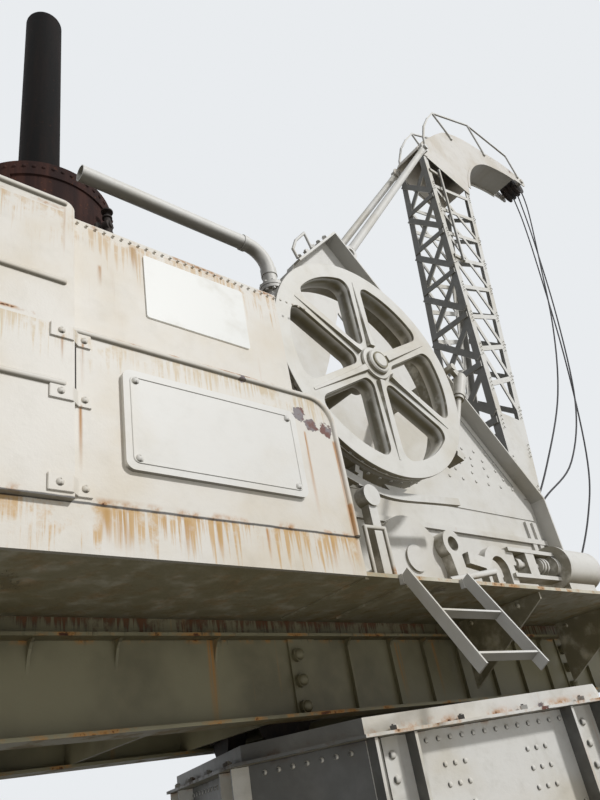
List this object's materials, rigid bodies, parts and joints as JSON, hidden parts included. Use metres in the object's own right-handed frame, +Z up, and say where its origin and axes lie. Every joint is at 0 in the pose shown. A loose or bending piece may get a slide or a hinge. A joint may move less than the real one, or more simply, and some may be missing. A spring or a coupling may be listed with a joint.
{
  "type": "steam dock crane",
  "caption": "Old white steam crane on a rail truck: boiler with tall chimney, plated house, spoked hoist wheel, deck engines and a lattice jib with a swan-neck head.",
  "frame": {"origin": "on the rail plane (underside of the wheels), on the vertical axis the superstructure slews about", "axes": "+Z up, +X along the jib from the rear tank to the jib's head, +Y to the crane's left"},
  "size_m": [10.3939, 3.1774, 11.4341],
  "materials": {
    "old_white_paint": "old off-white gloss paint with rust runs and grime",
    "grimy_paint": "dirty paint in shadow, with oil and dust",
    "bare_cast_iron": "oily, worn bare iron",
    "rusted_boiler_plate": "dull dark red-brown rusted plate",
    "tarred_rope": "dark greased rope",
    "sign_enamel": "plain white enamel"
  },
  "bodies": {
    "truck": {"truck_platform": "old_white_paint", "truck_cross_girders": "grimy_paint", "centre_casting": "bare_cast_iron", "roller_path": "bare_cast_iron", "axle_guards": "old_white_paint", "front_wheelset": "bare_cast_iron", "rear_wheelset": "bare_cast_iron"},
    "superstructure": {"bed_girder_right": "old_white_paint", "bed_girder_left": "old_white_paint", "bed_cross_girders": "grimy_paint", "slewing_rollers": "bare_cast_iron", "deck": "old_white_paint", "deck_brackets": "old_white_paint", "fascia": "old_white_paint", "ladder": "old_white_paint", "rear_tank": "old_white_paint", "house_side_right": "old_white_paint", "house_side_left": "old_white_paint", "name_plate": "old_white_paint", "sign_plate": "sign_enamel", "boiler": "rusted_boiler_plate", "chimney": "rusted_boiler_plate", "exhaust_pipe": "old_white_paint", "side_frame_right": "old_white_paint", "side_frame_left": "old_white_paint", "frame_head": "old_white_paint", "tie_bars": "old_white_paint", "jib_side_right": "old_white_paint", "jib_side_left": "old_white_paint", "jib_rear_lacing": "old_white_paint", "jib_front_lacing": "old_white_paint", "jib_foot": "old_white_paint", "jib_head": "old_white_paint", "head_rail": "old_white_paint", "jib_rod": "old_white_paint", "fall_1": "tarred_rope", "fall_2": "tarred_rope", "fall_3": "tarred_rope", "brake_band": "old_white_paint", "brake_gear": "old_white_paint", "engine_right": "old_white_paint", "engine_left": "old_white_paint"},
    "hoist": {"hoist_wheel": "old_white_paint", "hoist_drum": "grimy_paint"},
    "sheaves": {"head_sheaves": "bare_cast_iron"}
  },
  "joints": [
    {"name": "slew", "type": "hinge", "parent": "truck", "child": "superstructure", "pos_m": [0, 0, 1.655], "axis": [0, 0, 1], "continuous": true},
    {"name": "hoist_turn", "type": "hinge", "parent": "superstructure", "child": "hoist", "pos_m": [-0.689, 0, 3.692], "axis": [0, 1, 0], "continuous": true},
    {"name": "sheave_turn", "type": "hinge", "parent": "superstructure", "child": "sheaves", "pos_m": [6.54, 0, 10.7], "axis": [0, 1, 0], "continuous": true}
  ]
}
